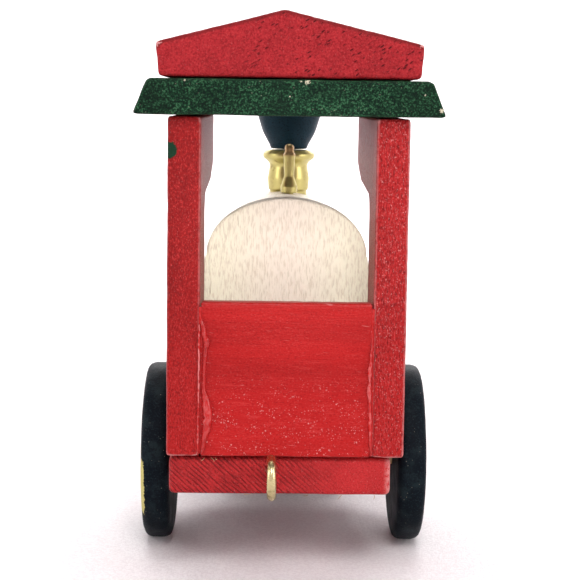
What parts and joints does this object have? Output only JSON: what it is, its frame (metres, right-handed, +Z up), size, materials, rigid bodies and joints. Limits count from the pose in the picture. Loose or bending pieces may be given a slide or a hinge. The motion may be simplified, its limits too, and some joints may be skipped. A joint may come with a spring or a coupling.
{
  "type": "toy road roller",
  "caption": "Small painted wooden toy road roller: roofed cab, boiler with flared stack, free rear wheels, steered front roller, screw eye for towing.",
  "frame": {"origin": "on the ground under the centre of the toy's bounding box", "axes": "+Y forward, towards the front roller; +X to the toy's right seen from behind; +Z up"},
  "size_m": [0.052, 0.086, 0.0942],
  "materials": {
    "red_paint": "brushed satin red paint over wood grain",
    "green_paint": "thick speckled dark green paint on wood",
    "cream_paint": "thin cream paint over vertical grain",
    "navy_paint": "matt blue-black paint on turned wood",
    "gold_paint": "gold metallic paint on turned wood",
    "brass": "bright drawn brass wire",
    "bare_wood": "unpainted birch dowel"
  },
  "bodies": {
    "chassis": {"chassis_plank": "red_paint", "axle_cap": "red_paint", "cab_side_left": "red_paint", "cab_side_right": "red_paint", "rear_panel": "red_paint", "cab_front_plate": "cream_paint", "roof_board": "green_paint", "roof_gable": "red_paint", "boiler": "cream_paint", "smokebox_door": "navy_paint", "smokebox_knob": "gold_paint", "stack_base": "gold_paint", "stack_cup": "navy_paint", "steam_whistle": "gold_paint", "firebox_block": "red_paint", "steering_head": "red_paint", "pivot_screw": "brass", "pivot_washer": "brass", "screw_eye": "brass"},
    "rear_wheels": {"rear_axle": "bare_wood", "rear_wheel_left": "navy_paint", "rear_wheel_right": "navy_paint", "hub_cap_left": "gold_paint", "hub_cap_right": "gold_paint"},
    "fork": {"fork_crown": "red_paint", "fork_cheek_left": "red_paint", "fork_cheek_right": "red_paint"},
    "roller": {"roller_drum": "navy_paint", "roller_axle": "gold_paint"}
  },
  "joints": [
    {"name": "rear_axle_spin", "type": "hinge", "parent": "chassis", "child": "rear_wheels", "pos_m": [0, -0.0065, 0.0159], "axis": [1, 0, 0], "continuous": true},
    {"name": "fork_steer", "type": "hinge", "parent": "chassis", "child": "fork", "pos_m": [0, 0.031, 0.031], "axis": [0, 0, 1], "range_deg": [-30, 30]},
    {"name": "roller_spin", "type": "hinge", "parent": "fork", "child": "roller", "pos_m": [0, 0.031, 0.012], "axis": [1, 0, 0], "continuous": true}
  ]
}
